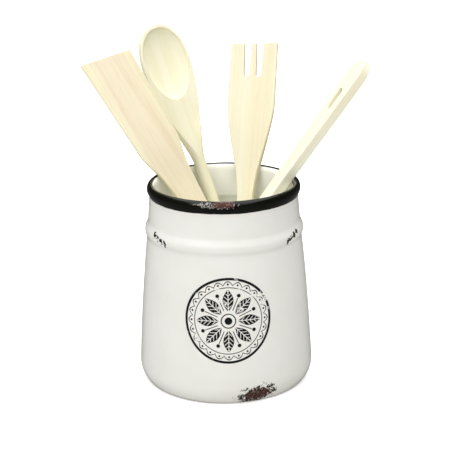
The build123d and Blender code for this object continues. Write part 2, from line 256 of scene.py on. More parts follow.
def jar_rings():
    """The outline turned about Z: (radius sin turn, -radius cos turn, height), row by row.

    The turn starts at the back and passes the front, -Y, in the middle. Waves and chips draw each
    point in, square to the outline. The two ends of the outline are poles and are left out.
    """
    turn = np.linspace(-np.pi, np.pi, COLUMN_COUNT, endpoint=False)[None, :]
    radii, heights = profile[1:-1, 0][:, None], profile[1:-1, 1][:, None]
    slopes = np.gradient(profile, row_places, axis=0)[1:-1]
    slopes /= np.hypot(*slopes.T)[:, None]
    out_radius, out_height = slopes[:, 1][:, None], -slopes[:, 0][:, None]
    first_wave = np.cos(WAVES_ROUND[0] * turn + WAVES_UP[0] * heights)
    second_wave = np.cos(WAVES_ROUND[1] * turn + WAVE_SHIFT - WAVES_UP[1] * heights)
    inset = WAVE_DEPTH * (1 - first_wave * second_wave) * np.clip(heights / WAVE_FADE, 0, 1)
    inset = inset + chip_dips(turn, row_places[1:-1][:, None], radii)
    radii = radii - inset * out_radius
    heights = heights - inset * out_height
    return np.stack([radii * np.sin(turn), -radii * np.cos(turn), heights + 0 * turn], -1)


rings = jar_rings()
print("grid has", rings.shape[0], "rows of", rings.shape[1], "points")


# %% Faces between the rings
def ring_faces(row_count):
    """Four-sided faces between neighbouring rings, and a fan of triangles round each pole.

    A point's number is row x columns + column. The poles come last, the low one first.
    """
    row, column = np.meshgrid(np.arange(row_count - 1), np.arange(COLUMN_COUNT), indexing="ij")
    beside = (column + 1) % COLUMN_COUNT
    quads = np.stack([row, row, row + 1, row + 1], -1) * COLUMN_COUNT
    quads = (quads + np.stack([column, beside, beside, column], -1)).reshape(-1, 4)
    around = np.arange(COLUMN_COUNT)
    following = (around + 1) % COLUMN_COUNT
    low_pole, high_pole = row_count * COLUMN_COUNT, row_count * COLUMN_COUNT + 1
    last = (row_count - 1) * COLUMN_COUNT
    low_fan = np.stack([following, around, 0 * around + low_pole], -1)
    high_fan = np.stack([last + around, last + following, 0 * around + high_pole], -1)
    return quads, np.concatenate([low_fan, high_fan])


jar_quads, jar_fans = ring_faces(len(rings))
print("rings joined by", len(jar_quads), "four-sided faces and", len(jar_fans), "triangles")


# %% A mesh from whole arrays
def mesh_object(name, points, quads, triangles):
    """A smooth-shaded mesh object from whole arrays of points, four-sided and three-sided faces."""
    mesh = bpy.data.meshes.new(name)
    mesh.vertices.add(len(points))
    mesh.vertices.foreach_set("co", points.astype(np.float32).ravel())
    corners = np.concatenate([quads.ravel(), triangles.ravel()])
    starts = np.concatenate(
        [4 * np.arange(len(quads)), 4 * len(quads) + 3 * np.arange(len(triangles))]
    )
    mesh.loops.add(len(corners))
    mesh.loops.foreach_set("vertex_index", corners.astype(np.int32))
    mesh.polygons.add(len(starts))
    mesh.polygons.foreach_set("loop_start", starts.astype(np.int32))
    mesh.polygons.foreach_set("use_smooth", np.ones(len(starts), bool))
    mesh.update(calc_edges=True)
    mesh.validate()
    made = bpy.data.objects.new(name, mesh)
    bpy.context.scene.collection.objects.link(made)
    return made


poles = [(0, 0, profile[0, 1]), (0, 0, profile[-1, 1])]
jar_points = np.concatenate([rings.reshape(-1, 3), poles])
glazed_jar = mesh_object("glazed_jar", jar_points, jar_quads, jar_fans)
print("jar has", len(glazed_jar.data.polygons), "faces")

# %% The jar takes the place of the CAD solid
point_places = np.concatenate([np.repeat(row_places[1:-1], COLUMN_COUNT), row_places[[0, -1]]])
kept_places = glazed_jar.data.attributes.new("along", "FLOAT", "POINT")
kept_places.data.foreach_set("value", point_places.astype(np.float32))
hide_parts("crock")
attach(glazed_jar, "crock")
print("jar carries its outline's length, up to", round(float(point_places.max()), 4), "m")

# %% [markdown]
# ## Small helpers for the materials
# A material is a graph of nodes. Building it by hand takes three lines for each node, so small
# classes wrap the few kinds used here. Each call adds one node, takes numbers or other nodes'
# outputs, and gives back its output, so that a formula reads like a formula. There are three, each
# built on the one before: the graph itself, the sums, and the patterns and colours.


# %% A graph that grows call by call
class Graph:
    """Adds nodes to one graph and links them. Numbers are set on sockets, outputs are linked."""

    def __init__(self, owner, shader):
        """Work on the graph of a material or of the world, which ends in this shader."""
        self.owner = owner
        owner.use_nodes = True
        self.tree = owner.node_tree
        self.shader = self.tree.nodes[shader]

    def node(self, kind, **options):
        """A new node with its options set."""
        made = self.tree.nodes.new(kind)
        for option, value in options.items():
            setattr(made, option, value)
        return made

    def feed(self, socket, value):
        """Link another node's output to a socket, or set a number, place or colour on it."""
        if isinstance(value, bpy.types.NodeSocket):
            self.tree.links.new(value, socket)
        else:
            socket.default_value = value

    def fill(self, made, names, values):
        """Feed several sockets of a node, known by name or number, and give the node back."""
        for name, value in zip(names, values):
            self.feed(made.inputs[name], value)
        return made


# %% Sums
class Sums(Graph):
    """The sums that formulas are written with, one Math or Map Range node each."""

    def math(self, operation, *values):
        """The result of one Math node."""
        made = self.node("ShaderNodeMath", operation=operation)
        return self.fill(made, range(len(values)), values).outputs[0]

    def plus(self, first, second):
        """first + second"""
        return self.math("ADD", first, second)

    def minus(self, first, second):
        """first - second"""
        return self.math("SUBTRACT", first, second)

    def times(self, first, second):
        """first x second"""
        return self.math("MULTIPLY", first, second)

    def larger(self, first, second):
        """The larger of the two, which joins two masks."""
        return self.math("MAXIMUM", first, second)

    def size(self, value):
        """|value|"""
        return self.math("ABSOLUTE", value)

    def length(self, first, second):
        """Square root of (first^2 + second^2)."""
        return self.math("SQRT", self.plus(self.times(first, first), self.times(second, second)))

    def step(self, value, low, high):
        """0 at low, 1 at high, and an S-shaped climb between them."""
        made = self.node("ShaderNodeMapRange", interpolation_type="SMOOTHSTEP")
        return self.fill(made, ("Value", "From Min", "From Max"), (value, low, high)).outputs[0]

    def span(self, value, first, second):
        """first where the value is 0, second where it is 1, and a straight line between them."""
        made = self.node("ShaderNodeMapRange")
        return self.fill(made, ("Value", "To Min", "To Max"), (value, first, second)).outputs[0]


# %% Patterns and colours
class Bench(Sums):
    """The coordinates, patterns and colours that a material is painted with."""

    def place(self):
        """Object coordinates, which stay with the piece when it moves."""
        return self.node("ShaderNodeTexCoord").outputs["Object"]

    def split(self, place):
        """The three coordinates of a place."""
        return self.fill(self.node("ShaderNodeSeparateXYZ"), [0], [place]).outputs

    def mapping(self, place, location=(0, 0, 0), rotation=(0, 0, 0), scale=(1, 1, 1)):
        """A place scaled, then turned, then moved."""
        names = ("Vector", "Location", "Rotation", "Scale")
        made = self.node("ShaderNodeMapping")
        return self.fill(made, names, (place, location, rotation, scale)).outputs[0]

    def noise(self, place, scale, detail=3.0, roughness=0.55):
        """Smooth noise about 0.5, with scale bumps to the metre."""
        names = ("Vector", "Scale", "Detail", "Roughness")
        made = self.node("ShaderNodeTexNoise")
        return self.fill(made, names, (place, scale, detail, roughness)).outputs["Fac"]

    def cells(self, feature, place, scale):
        """Distance in cells: F1 is from a cell's middle, DISTANCE_TO_EDGE from its border."""
        made = self.node("ShaderNodeTexVoronoi", feature=feature)
        return self.fill(made, ("Vector", "Scale"), (place, scale)).outputs["Distance"]

    def mix(self, share, first, second):
        """The first colour where share is 0, the second where it is 1."""
        made = self.node("ShaderNodeMix", data_type="RGBA")
        return self.fill(made, (0, 6, 7), (share, first, second)).outputs[2]

    def blend(self, share, first, second):
        """The same for plain numbers."""
        made = self.node("ShaderNodeMix", data_type="FLOAT")
        return self.fill(made, (0, 2, 3), (share, first, second)).outputs[0]

    def bump(self, height, distance, strength):
        """Tilt the surface's shading as if it stood this high, times the distance."""
        names = ("Height", "Distance", "Strength")
        made = self.fill(self.node("ShaderNodeBump"), names, (height, distance, strength))
        self.feed(self.shader.inputs["Normal"], made.outputs[0])


# %% New materials and colours
def new_material(name):
    """A bench on a fresh material, which ends in a Principled shader."""
    return Bench(bpy.data.materials.new(name), "Principled BSDF")


def paint(red, green, blue):
    """A colour as the screen shows it, 0 to 255, turned into the linear numbers a shader uses."""
    shown = np.array([red, green, blue]) / 255
    linear = np.where(shown <= 0.04045, shown / 12.92, ((shown + 0.055) / 1.055) ** 2.4)
    return (*map(float, linear), 1.0)


print("middle grey on the screen is", round(paint(128, 128, 128)[0], 3), "to the shader")

# %% [markdown]
# ## The glaze
# The real finish is a warm white glossy glaze, a black one over the rim, and bare clay on the foot
# where the jar stood in the kiln. Image textures could paint them, but the borders follow the
# outline, so masks on the outline's length are exact at any size. A slow noise makes the dipped
# border of the black wander a little, as a hand-dipped one does.

# %% Coordinates and noises on the jar
SLOW_BUMPS, COARSE_BUMPS, FINE_BUMPS = 45.0, 330.0, 900.0
glaze = new_material("glazed_stoneware_worn")
jar_place = glaze.place()
across_x, depth_y = glaze.split(jar_place)[:2]
turn_angle = glaze.math("ARCTAN2", across_x, glaze.times(depth_y, -1.0))
jar_radius = glaze.length(across_x, depth_y)
along = glaze.node("ShaderNodeAttribute", attribute_name="along").outputs["Fac"]
slow_noise = glaze.noise(jar_place, SLOW_BUMPS, 2.0)
fine_noise = glaze.noise(jar_place, FINE_BUMPS, 4.0, 0.65)
coarse_noise = glaze.noise(jar_place, COARSE_BUMPS, 3.0, 0.6)


def wall_place(azimuth, place, lean=0.0):
    """Distances on the wall from a point: arc = (turn - azimuth) x radius, rise = length along.

    A lean tilts the arc's line, so that rise is counted from place + lean x arc.
    """
    arc = glaze.times(glaze.minus(turn_angle, radians(azimuth)), jar_radius)
    rise = glaze.minus(along, place)
    if lean:
        rise = glaze.minus(rise, glaze.times(arc, lean))
    return arc, rise


print("glaze starts with", len(glaze.tree.nodes), "nodes")

# %% White, a painted-light inside, black and bare clay
RIM_BLACK_FROM, RIM_BLACK_TO = outside_place(0.1549), crest + 0.0019
LOW_SOFTNESS, HIGH_SOFTNESS, BORDER_WANDER = 0.00012, 0.00035, 0.0012
INSIDE_GLAZE_FROM, INSIDE_GLAZE_TO = crest - 0.001, crest + 0.003
FOOT_BARE_TO, BARE_FADE_UP, BARE_FADE_DOWN = outside_place(0.0006), 0.0004, 0.0002
# The inside glaze is painted much lighter than the white outside: partly its own pale glaze, partly
# painted light standing in for light on the shaded inner wall.
WHITE_GLAZE, INSIDE_GLAZE_PAINTED_LIGHT = paint(229, 228, 223), paint(253, 254, 246)
THIN_GLAZE, BLACK_GLAZE = paint(227, 225, 219), paint(14, 15, 10)
BARE_CLAY, DARK_CLAY = paint(214, 205, 188), paint(190, 178, 158)

wandering = glaze.plus(along, glaze.times(glaze.minus(slow_noise, 0.5), BORDER_WANDER))
inside = glaze.step(along, INSIDE_GLAZE_FROM, INSIDE_GLAZE_TO)
black_low = glaze.step(wandering, RIM_BLACK_FROM - LOW_SOFTNESS, RIM_BLACK_FROM + LOW_SOFTNESS)
black_high = glaze.step(wandering, RIM_BLACK_TO + HIGH_SOFTNESS, RIM_BLACK_TO - HIGH_SOFTNESS)
black = glaze.times(black_low, black_high)
bare = glaze.step(wandering, FOOT_BARE_TO + BARE_FADE_UP, FOOT_BARE_TO - BARE_FADE_DOWN)
# Inside the jar the coat takes that lighter glaze, which carries the painted light.
thick_coat = glaze.mix(inside, WHITE_GLAZE, INSIDE_GLAZE_PAINTED_LIGHT)
thin_coat = glaze.mix(inside, THIN_GLAZE, INSIDE_GLAZE_PAINTED_LIGHT)
coat = glaze.mix(glaze.step(slow_noise, 0.30, 0.75), thick_coat, thin_coat)
coat = glaze.mix(black, coat, BLACK_GLAZE)
coat = glaze.mix(bare, coat, glaze.mix(coarse_noise, BARE_CLAY, DARK_CLAY))
black_span = [round(place * 1000, 1) for place in (RIM_BLACK_FROM, RIM_BLACK_TO)]
print("black glaze from", *black_span, "mm along")

# %% [markdown]
# ## Chips in the glaze
# Each chip is a ragged patch. Its mask starts as 1 in the middle and falls to 0 at the edge of an
# oval, and noise is added before a sharp step, so the edge breaks up. A second, smaller step gives
# the brown body inside a dark broken border, and a third leaves flecks of white glaze standing.


# %% Shape of a chip
CHIP_EDGE, BODY_EDGE = 0.06, 0.08


def ragged_level(wide, high, noise, raggedness):
    """1 - square root of (wide^2 + high^2), plus (noise - 0.5) x raggedness."""
    level = glaze.minus(1.0, glaze.length(wide, high))
    return glaze.plus(level, glaze.times(glaze.minus(noise, 0.5), raggedness))


def chip_mask(chip, raggedness, cut):
    """Sharp step of the ragged level, with wide = arc / half width, high = rise / half height."""
    arc, rise = wall_place(chip.azimuth, chip.place, chip.lean)
    wide = glaze.math("DIVIDE", arc, chip.half_width)
    high = glaze.math("DIVIDE", rise, chip.half_height)
    level = ragged_level(wide, high, coarse_noise, raggedness)
    return glaze.step(level, cut, cut + CHIP_EDGE), level


# %% Paint the large chips
CHIP_BROWN, CHIP_EARTH = paint(88, 52, 44), paint(62, 34, 28)
CHIP_DARK, CHIP_PALE = paint(26, 22, 20), paint(206, 200, 190)
border = glaze.mix(glaze.step(fine_noise, 0.53, 0.56), CHIP_DARK, CHIP_PALE)
earth = glaze.mix(fine_noise, CHIP_BROWN, CHIP_EARTH)
standing_flecks = glaze.step(fine_noise, 0.60, 0.64)
chip_masks = []
for name, raggedness, cut, body_cut in (
    ("foot", 2.1, 0.06, 0.36),
    ("rim", 1.7, 0.12, 0.20),
    ("inner", 2.0, 0.10, 0.30),
):
    mask, level = chip_mask(chips[name], raggedness, cut)
    body = glaze.step(level, body_cut, body_cut + BODY_EDGE)
    flecked = glaze.times(standing_flecks, glaze.step(level, 1.05, 0.35))
    coat = glaze.mix(mask, coat, glaze.mix(body, border, glaze.mix(flecked, earth, CHIP_PALE)))
    chip_masks.append(mask)
print("large chips:", len(chip_masks))

# %% [markdown]
# ## Small marks on the band
# At each end of the band that the front shows, the glaze has a short chain of dark scratches. One
# oval is enough for a chain: folding the arc by the distance between two marks repeats it, and a
# noise that is finer than the marks breaks each one in its own way.

# %% Chains of marks
MARK_PITCH, MARK_HALF, MARK_RAGGEDNESS, MARK_BUMPS = 0.0047, 0.0026, 3.4, 480.0
CHAIN_FADE = 0.94
mark_noise = glaze.noise(jar_place, MARK_BUMPS, 2.0, 0.5)


def chain_of_marks(chip):
    """Ovals of half size MARK_HALF at (share of a pitch - 0.5) x pitch, inside the chip's arc.

    The share is the fraction of arc / pitch. A hundred whole pitches keep it above zero.
    """
    arc, rise = wall_place(chip.azimuth, chip.place, chip.lean)
    share = glaze.math("FRACT", glaze.plus(glaze.math("DIVIDE", arc, MARK_PITCH), 100.0))
    from_middle = glaze.times(glaze.minus(share, 0.5), MARK_PITCH)
    wide = glaze.math("DIVIDE", from_middle, MARK_HALF)
    high = glaze.math("DIVIDE", rise, MARK_HALF)
    level = ragged_level(wide, high, mark_noise, MARK_RAGGEDNESS)
    near = glaze.step(glaze.size(arc), chip.half_width, chip.half_width * CHAIN_FADE)
    return glaze.times(glaze.step(level, 0.16, 0.26), near)


for name in ("band_left", "band_right"):
    mask = chain_of_marks(chips[name])
    coat = glaze.mix(mask, coat, CHIP_DARK)
    chip_masks.append(mask)

chip_cover = chip_masks[0]
for mask in chip_masks[1:]:
    chip_cover = glaze.larger(chip_cover, mask)
print("chips and marks painted:", len(chip_masks))

# %% [markdown]
# ## Crackle beside the rim's chip
# Where the black has flaked on both sides of the rim's chip, thin pale lines show. Cracks are the
# borders between cells, which is what a Voronoi texture's distance to edge measures, so a narrow
# step on it draws them, held to an oval by the same mask as the chips.

# %% Crackle lines
CRACKLE_PALE, CRACKLE_CELLS, CRACKLE_STRETCH = paint(172, 168, 162), 620.0, 1.6
crackle_zone = Chip(-6.0, crest - 0.0042, 0.0185, 0.0030, 0.0)
crackle_mask = chip_mask(crackle_zone, 1.5, 0.16)[0]
stretched = glaze.mapping(jar_place, scale=(1.0, 1.0, CRACKLE_STRETCH))
lines = glaze.step(glaze.cells("DISTANCE_TO_EDGE", stretched, CRACKLE_CELLS), 0.13, 0.07)
lines = glaze.times(lines, glaze.step(coarse_noise, 0.42, 0.5))
crackle = glaze.times(glaze.times(crackle_mask, lines), black)
crackle = glaze.times(crackle, glaze.minus(1.0, chip_cover))
coat = glaze.mix(crackle, coat, CRACKLE_PALE)
print("crackle reaches", crackle_zone.half_width * 1000, "mm to each side")

# %% [markdown]
# ## The printed rosette
# The front carries a round print in black ink. A plain ornament stands there: a bold ring, a
# scalloped border with beads, and eight veined leaves round a bud. All of it follows from polar
# coordinates about the print's middle, distance and turn, so each motif is one short formula.
# Folding the turn into one slice repeats a leaf eight times.

# %% Polar coordinates of the print
INK_EDGE = 0.00012
print_arc, print_rise = wall_place(PRINT_AZIMUTH, PRINT_PLACE)
print_distance = glaze.length(print_arc, print_rise)
print_turn = glaze.math("ARCTAN2", print_arc, print_rise)


def folded(count, shift=0.0):
    """The turn folded into one of count equal slices, from -half a slice to +half a slice."""
    slice_turn = 2 * np.pi / count
    moved = glaze.plus(print_turn, shift * slice_turn + slice_turn / 2 + 4 * np.pi)
    return glaze.minus(glaze.math("MODULO", moved, slice_turn), slice_turn / 2)


def in_slice(turn):
    """Straight coordinates in a slice: out = distance x cosine, aside = distance x sine."""
    out = glaze.times(print_distance, glaze.math("COSINE", turn))
    return out, glaze.times(print_distance, glaze.math("SINE", turn))


print("print is", 2 * PRINT_RADIUS * 1000, "mm across")


# %% Motifs
def inked(gap, half_width):
    """1 where a gap is under a half width, with a soft edge of ink."""
    return glaze.step(gap, half_width + INK_EDGE, half_width - INK_EDGE)


def ring(radius, half_width):
    """A line where distance - radius is near 0."""
    return inked(glaze.size(glaze.minus(print_distance, radius)), half_width)


def dot(out, aside, radius, size):
    """1 inside a disc of that size, at that radius on the slice's middle line."""
    return inked(glaze.length(glaze.minus(out, radius), aside), size)


def leaf_room(out, aside, start, end, half_width):
    """How far inside a pointed leaf: half width x sine of (pi x share) - |aside|.

    The share runs from 0 at the leaf's start to 1 at its end.
    """
    held = glaze.node("ShaderNodeClamp")
    glaze.feed(held.inputs[0], glaze.math("DIVIDE", glaze.minus(out, start), end - start))
    swell = glaze.math("SINE", glaze.times(held.outputs[0], np.pi))
    return glaze.minus(glaze.times(swell, half_width), glaze.size(aside))


# %% Border and beads
SCALLOPS, SCALLOP_DEPTH, SCALLOP_HALF = 24, 0.0030, 0.00042
OUTER_RING, SCALLOP_LINE = PRINT_RADIUS - 0.0009, PRINT_RADIUS - 0.0060
BEAD_RING, INNER_RING, BEAD_SIZE = PRINT_RADIUS - 0.0052, PRINT_RADIUS - 0.0078, 0.00082
BOLD_HALF, THIN_HALF = 0.00100, 0.00034
scallop_turn = folded(SCALLOPS)
scallop_wave = glaze.math("COSINE", glaze.times(scallop_turn, SCALLOPS / 2))
scallop_edge = glaze.plus(glaze.times(scallop_wave, SCALLOP_DEPTH), SCALLOP_LINE)
scallop_gap = glaze.size(glaze.minus(print_distance, scallop_edge))
border_out, border_aside = in_slice(scallop_turn)
motifs = [
    ring(OUTER_RING, BOLD_HALF),
    inked(scallop_gap, SCALLOP_HALF),
    dot(border_out, border_aside, BEAD_RING, BEAD_SIZE),
    ring(INNER_RING, THIN_HALF),
]
print("scallops with a bead each:", SCALLOPS)

# %% Leaves
LEAVES, LEAF_START, LEAF_END, LEAF_HALF = 8, 0.0072, 0.0258, 0.0043
VEIN_HALF, RIB_PITCH, RIB_MARGIN, RIB_FADE = 0.00030, 0.0034, 0.0005, 0.0003
leaf_out, leaf_aside = in_slice(folded(LEAVES))
room = leaf_room(leaf_out, leaf_aside, LEAF_START, LEAF_END, LEAF_HALF)
vein = inked(glaze.size(leaf_aside), VEIN_HALF)
rib_run = glaze.minus(leaf_out, glaze.size(leaf_aside))
rib_share = glaze.math("FRACT", glaze.math("DIVIDE", rib_run, RIB_PITCH))
rib_room = glaze.step(room, RIB_MARGIN, RIB_MARGIN + RIB_FADE)
ribs = glaze.times(glaze.step(rib_share, 0.76, 0.82), rib_room)
uncut = glaze.minus(1.0, glaze.larger(vein, ribs))
motifs.append(glaze.times(glaze.step(room, 0.0, INK_EDGE), uncut))
print("veined leaves:", LEAVES)

# %% Stems between the leaves, and the bud
STEM_START, STEM_END, STEM_FADE = 0.0090, 0.0200, 0.0002
BERRY_RING, BERRY_SIZE = 0.0218, 0.0015
BUD_RING, BUD_HALF, BUD_SIZE = 0.0056, 0.00045, 0.0030
stem_out, stem_aside = in_slice(folded(LEAVES, 0.5))
stem_low = glaze.step(stem_out, STEM_START, STEM_START + STEM_FADE)
stem_run = glaze.times(stem_low, glaze.step(stem_out, STEM_END, STEM_END - STEM_FADE))
motifs.append(glaze.times(inked(glaze.size(stem_aside), THIN_HALF), stem_run))
motifs.append(dot(stem_out, stem_aside, BERRY_RING, BERRY_SIZE))
motifs += [ring(BUD_RING, BUD_HALF), inked(print_distance, BUD_SIZE)]
ink = motifs[0]
for motif in motifs[1:]:
    ink = glaze.larger(ink, motif)
print("motifs joined:", len(motifs))

# %% [markdown]
# ## Worn ink
# A stamped print on glaze is uneven: small gaps, and a few places where the border is rubbed thin.
# Two noises do this, a fine one for pinholes and a slow one for the rubbed places.

# %% Lay the ink on
BLACK_INK, RUB_BUMPS = paint(14, 14, 16), 85.0
pinholes = glaze.step(fine_noise, 0.76, 0.72)
rubbed_zone = glaze.step(glaze.noise(jar_place, RUB_BUMPS, 2.0), 0.60, 0.66)
rubbed = glaze.times(rubbed_zone, glaze.step(fine_noise, 0.46, 0.50))
ink = glaze.times(glaze.times(ink, pinholes), glaze.minus(1.0, rubbed))
coat = glaze.mix(ink, coat, BLACK_INK)
glaze.feed(glaze.shader.inputs["Base Color"], coat)
print("glaze has", len(glaze.tree.nodes), "nodes with the ink")

# %% [markdown]
# ## Gloss and relief of the glaze
# Fired glaze mirrors the lamps, ink is duller, and chips and bare clay are rough. So the roughness
# is mixed with the same masks as the colour. The relief is too fine for the mesh: a slow ripple of
# the glaze, and grit in the chips. A Bump node tilts the shading by it and moves no point.

# %% Finish the glaze
CLEAR_GLOSS, CLOUDED_GLOSS = 0.10, 0.17
INK_ROUGHNESS, CHIP_ROUGHNESS, CLAY_ROUGHNESS = 0.32, 0.62, 0.82
RIPPLE_BUMPS, RIPPLE_SHARE, CHIP_SHARE, GRIT_SHARE = 70.0, 0.45, 0.9, 0.5
RELIEF_HEIGHT, RELIEF_STRENGTH = 0.00022, 0.8
gloss = glaze.blend(slow_noise, CLEAR_GLOSS, CLOUDED_GLOSS)
gloss = glaze.blend(ink, gloss, INK_ROUGHNESS)
gloss = glaze.blend(chip_cover, gloss, CHIP_ROUGHNESS)
gloss = glaze.blend(bare, gloss, CLAY_ROUGHNESS)
glaze.feed(glaze.shader.inputs["Roughness"], gloss)
glaze.shader.inputs["IOR"].default_value = 1.45
glaze.shader.inputs["Specular IOR Level"].default_value = 0.34
ripple = glaze.times(glaze.noise(jar_place, RIPPLE_BUMPS, 2.0, 0.4), RIPPLE_SHARE)
relief = glaze.minus(ripple, glaze.times(chip_cover, CHIP_SHARE))
grit = glaze.times(fine_noise, glaze.larger(bare, chip_cover))
relief = glaze.plus(relief, glaze.times(grit, GRIT_SHARE))
glaze.bump(relief, RELIEF_HEIGHT, RELIEF_STRENGTH)
glazed_jar.data.materials.append(glaze.owner)
print("glaze has", len(glaze.tree.nodes), "nodes")

# %% [markdown]
# ## The wood
# The tools are bare sanded hardwood: pale, with faint lines along the grain, short dark flecks and
# a warmer tint where the heartwood runs. The CAD solids already have the right shape, so they stay
# and only get a material. The grain has to run along each tool, which leans its own way. A Mapping
# node turns the pattern onto the tool's own axes, and those are measured from its mesh: the longest
# spread of its points is the grain, the shortest is the thickness.


# %% Axes of a tool
def tool_axes(node):
    """Middle and the three directions of spread of a mesh: thickness, width, length as rows.

    They are the axes of the points' scatter, found by singular values, longest last.
    """
    mesh = node.data
    points = np.zeros(3 * len(mesh.vertices), np.float32)
    mesh.vertices.foreach_get("co", points)
    points = points.reshape(-1, 3).astype(float)
    middle = (points.min(0) + points.max(0)) / 2
    axes = np.linalg.svd(points - points.mean(0), full_matrices=False)[2][::-1]
    axes[2] *= np.sign(axes[2, 2])
    axes[1] *= np.sign(axes[1, 0])
    axes[0] = np.cross(axes[1], axes[2])
    return middle, axes


print("the turner's grain runs along", np.round(tool_axes(nodes["turner"])[1][2], 3))


# %% Patterns of the wood
# Bumps to the metre across the thickness, across the width and along the tool.
STREAK_BUMPS, FIBRE_BUMPS, FLECK_BUMPS = (260, 300, 8), (1500, 2100, 60), (1050, 900, 130)
RING_BUMPS, SWAY_BUMPS = (9, 24, 1.3), (10, 10, 9)
STREAK_TURN, RING_TURN = (0.05, 0, 0), (0.035, 0, 0.5)
Grain = namedtuple("Grain", "streaks fibres rings flecks")


def wood_patterns(wood, own_place):
    """Streaks, fibres, rings and flecks at a place given as (thickness, width, length).

    Each is stretched along the tool by its few bumps there. Streaks and fibres are noise, rings
    are bent bands, and flecks are the middles of long cells, kept where the streaks are strong.
    """
    streak_place = wood.mapping(own_place, rotation=STREAK_TURN, scale=STREAK_BUMPS)
    streaks = wood.noise(streak_place, 1.0, 4.0, 0.6)
    fibres = wood.noise(wood.mapping(own_place, scale=FIBRE_BUMPS), 1.0, 2.0, 0.5)
    ring_place = wood.mapping(own_place, rotation=RING_TURN, scale=RING_BUMPS)
    bands = wood.node("ShaderNodeTexWave", wave_type="BANDS", bands_direction="Y")
    names = ("Vector", "Scale", "Distortion", "Detail", "Detail Scale")
    rings = wood.fill(bands, names, (ring_place, 1.0, 3.2, 2.0, 1.2)).outputs["Fac"]
    middles = wood.cells("F1", wood.mapping(own_place, scale=FLECK_BUMPS), 1.0)
    flecks = wood.times(wood.step(middles, 0.26, 0.12), wood.step(streaks, 0.45, 0.62))
    return Grain(streaks, fibres, rings, flecks)


# %% Heartwood, sides and ends
HEART_SWAY, HEART_FADE = 0.016, 0.35


def heartwood(wood, own_place, middle_line, half_width):
    """1 in a strip along the tool whose edge sways.

    The strip is where |across - middle line + (noise - 0.5) x HEART_SWAY| is small.
    """
    offset = wood.minus(wood.split(own_place)[1], middle_line)
    sway = wood.noise(wood.mapping(own_place, scale=SWAY_BUMPS), 1.0, 2.0)
    swayed = wood.plus(offset, wood.times(wood.minus(sway, 0.5), HEART_SWAY))
    return wood.step(wood.size(swayed), half_width, half_width * HEART_FADE)


def faces_along(wood, axis, low, high):
    """1 where the surface faces along an axis, either way: a step of |normal . axis|."""
    facing = wood.node("ShaderNodeVectorMath", operation="DOT_PRODUCT")
    normal = wood.node("ShaderNodeTexCoord").outputs["Normal"]
    squarely = wood.size(wood.fill(facing, (0, 1), (normal, axis)).outputs["Value"])
    return wood.step(squarely, low, high)


# %% A wooden material
Tones = namedtuple("Tones", "pale line dark_line fleck")
# A heart's side tone darkens the narrow sides: partly their own tone, partly painted shade.
Heart = namedtuple("Heart", "middle half_width tone side_tone")
SEED_SHIFT = (0.37, 0.53, 0.71)
HEART_SHARE, FIBRE_SHARE, FLECK_SHARE, END_SHARE = 0.85, 0.22, 0.38, 0.5
SMOOTH_WOOD, ROUGH_WOOD = 0.50, 0.68
FIBRE_RISE, STREAK_RISE, FLECK_DEPTH = 0.6, 0.5, 0.5
GRAIN_HEIGHT, GRAIN_STRENGTH = 0.00012, 0.6


def figured_colour(wood, colour, grain, figure, tones):
    """A colour mixed with streaks, then fibres, then flecks. The figure is the streaks' share."""
    streaked = wood.times(wood.step(grain.streaks, 0.46, 0.66), figure)
    colour = wood.mix(streaked, colour, tones.dark_line)
    fibred = wood.times(wood.step(grain.fibres, 0.5, 0.8), FIBRE_SHARE)
    colour = wood.mix(fibred, colour, tones.fleck)
    return wood.mix(wood.times(grain.flecks, FLECK_SHARE), colour, tones.fleck)


def wood_material(name, node, seed, figure, tones, heart=None):
    """Wood with its grain along the tool. Place in the tool = axes x (place - middle).

    The seed moves the pattern, so that no two tools are alike. Heartwood has a strip down the
    faces. The narrow sides take a darker, yellower tone, partly their own and partly painted
    shade, and the end grain is a little darker.
    """
    middle, axes = tool_axes(node)
    wood = new_material(name)
    turned = Matrix(axes.tolist())
    shift = Vector([seed * part for part in SEED_SHIFT]) - turned @ Vector(middle.tolist())
    own_place = wood.mapping(wood.place(), shift, turned.to_euler())
    grain = wood_patterns(wood, own_place)
    colour = wood.mix(wood.step(grain.rings, 0.35, 0.95), tones.pale, tones.line)
    if heart:
        middle_line = seed * SEED_SHIFT[1] + heart.middle
        strip = heartwood(wood, own_place, middle_line, heart.half_width)
        colour = wood.mix(wood.times(strip, HEART_SHARE), colour, heart.tone)
    colour = figured_colour(wood, colour, grain, figure, tones)
    if heart:
        # The narrow sides take the darker side tone, which is partly painted shade on the edge
        # faces.
        colour = wood.mix(faces_along(wood, axes[1], 0.55, 0.85), colour, heart.side_tone)
    end_grain = wood.times(faces_along(wood, axes[2], 0.80, 0.96), END_SHARE)
    wood.feed(wood.shader.inputs["Base Color"], wood.mix(end_grain, colour, tones.fleck))
    wood.feed(wood.shader.inputs["Roughness"], wood.blend(grain.streaks, SMOOTH_WOOD, ROUGH_WOOD))
    wood.shader.inputs["Specular IOR Level"].default_value = 0.35
    rise = wood.plus(wood.times(grain.fibres, FIBRE_RISE), wood.times(grain.streaks, STREAK_RISE))
    rise = wood.minus(rise, wood.times(grain.flecks, FLECK_DEPTH))
    wood.bump(rise, GRAIN_HEIGHT, GRAIN_STRENGTH)
    node.data.materials.clear()
    node.data.materials.append(wood.owner)
    print(name, "grain runs along", np.round(axes[2], 3))


